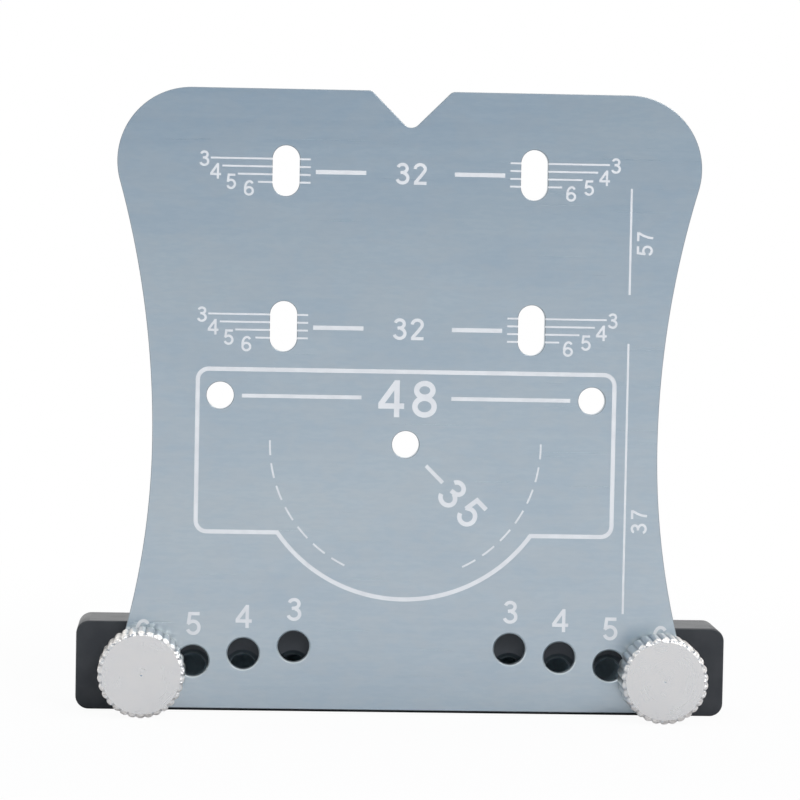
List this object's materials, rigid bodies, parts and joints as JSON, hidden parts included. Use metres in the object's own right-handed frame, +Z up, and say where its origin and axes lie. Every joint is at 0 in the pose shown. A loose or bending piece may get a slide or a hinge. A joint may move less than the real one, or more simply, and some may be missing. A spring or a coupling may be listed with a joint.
{
  "type": "hinge drilling jig",
  "caption": "Waisted steel guide plate with a drilling pattern for cup hinges, and an adjustable fence bar behind its foot held by knurled thumb screws.",
  "frame": {"origin": "centre of the footprint, on the surface that the fence bar stands on", "axes": "+X to the right as seen from the front, +Y from the plate's face to its back, +Z up the plate"},
  "size_m": [0.0842, 0.0188, 0.0805],
  "materials": {
    "brushed_steel": "fine horizontal brushing",
    "black_anodised": "black anodised, satin",
    "bright_nickel": "bright turned and knurled",
    "white_filler": "white paint wiped into the engraving"
  },
  "bodies": {
    "guide_plate": {"guide_plate": "brushed_steel"},
    "fence_bar": {"fence_bar": "black_anodised"},
    "left_thumb_screw": {"left_thumb_screw": "bright_nickel"},
    "right_thumb_screw": {"right_thumb_screw": "bright_nickel"}
  },
  "joints": [
    {"name": "fence_travel", "type": "slide", "parent": "guide_plate", "child": "fence_bar", "axis": [0, 1, 0], "range_m": [0, 0.00595]},
    {"name": "left_screw_turn", "type": "hinge", "parent": "guide_plate", "child": "left_thumb_screw", "pos_m": [-0.0335, -0.00215, 0.0056], "axis": [0, -1, 0], "range_deg": [0, 3062]},
    {"name": "right_screw_turn", "type": "hinge", "parent": "guide_plate", "child": "right_thumb_screw", "pos_m": [0.0335, -0.00215, 0.0056], "axis": [0, -1, 0], "range_deg": [0, 3062]}
  ],
  "couplings": [
    {"joint": "left_screw_turn", "follows": "fence_travel", "rad_per_m": 8976},
    {"joint": "right_screw_turn", "follows": "fence_travel", "rad_per_m": 8976}
  ]
}
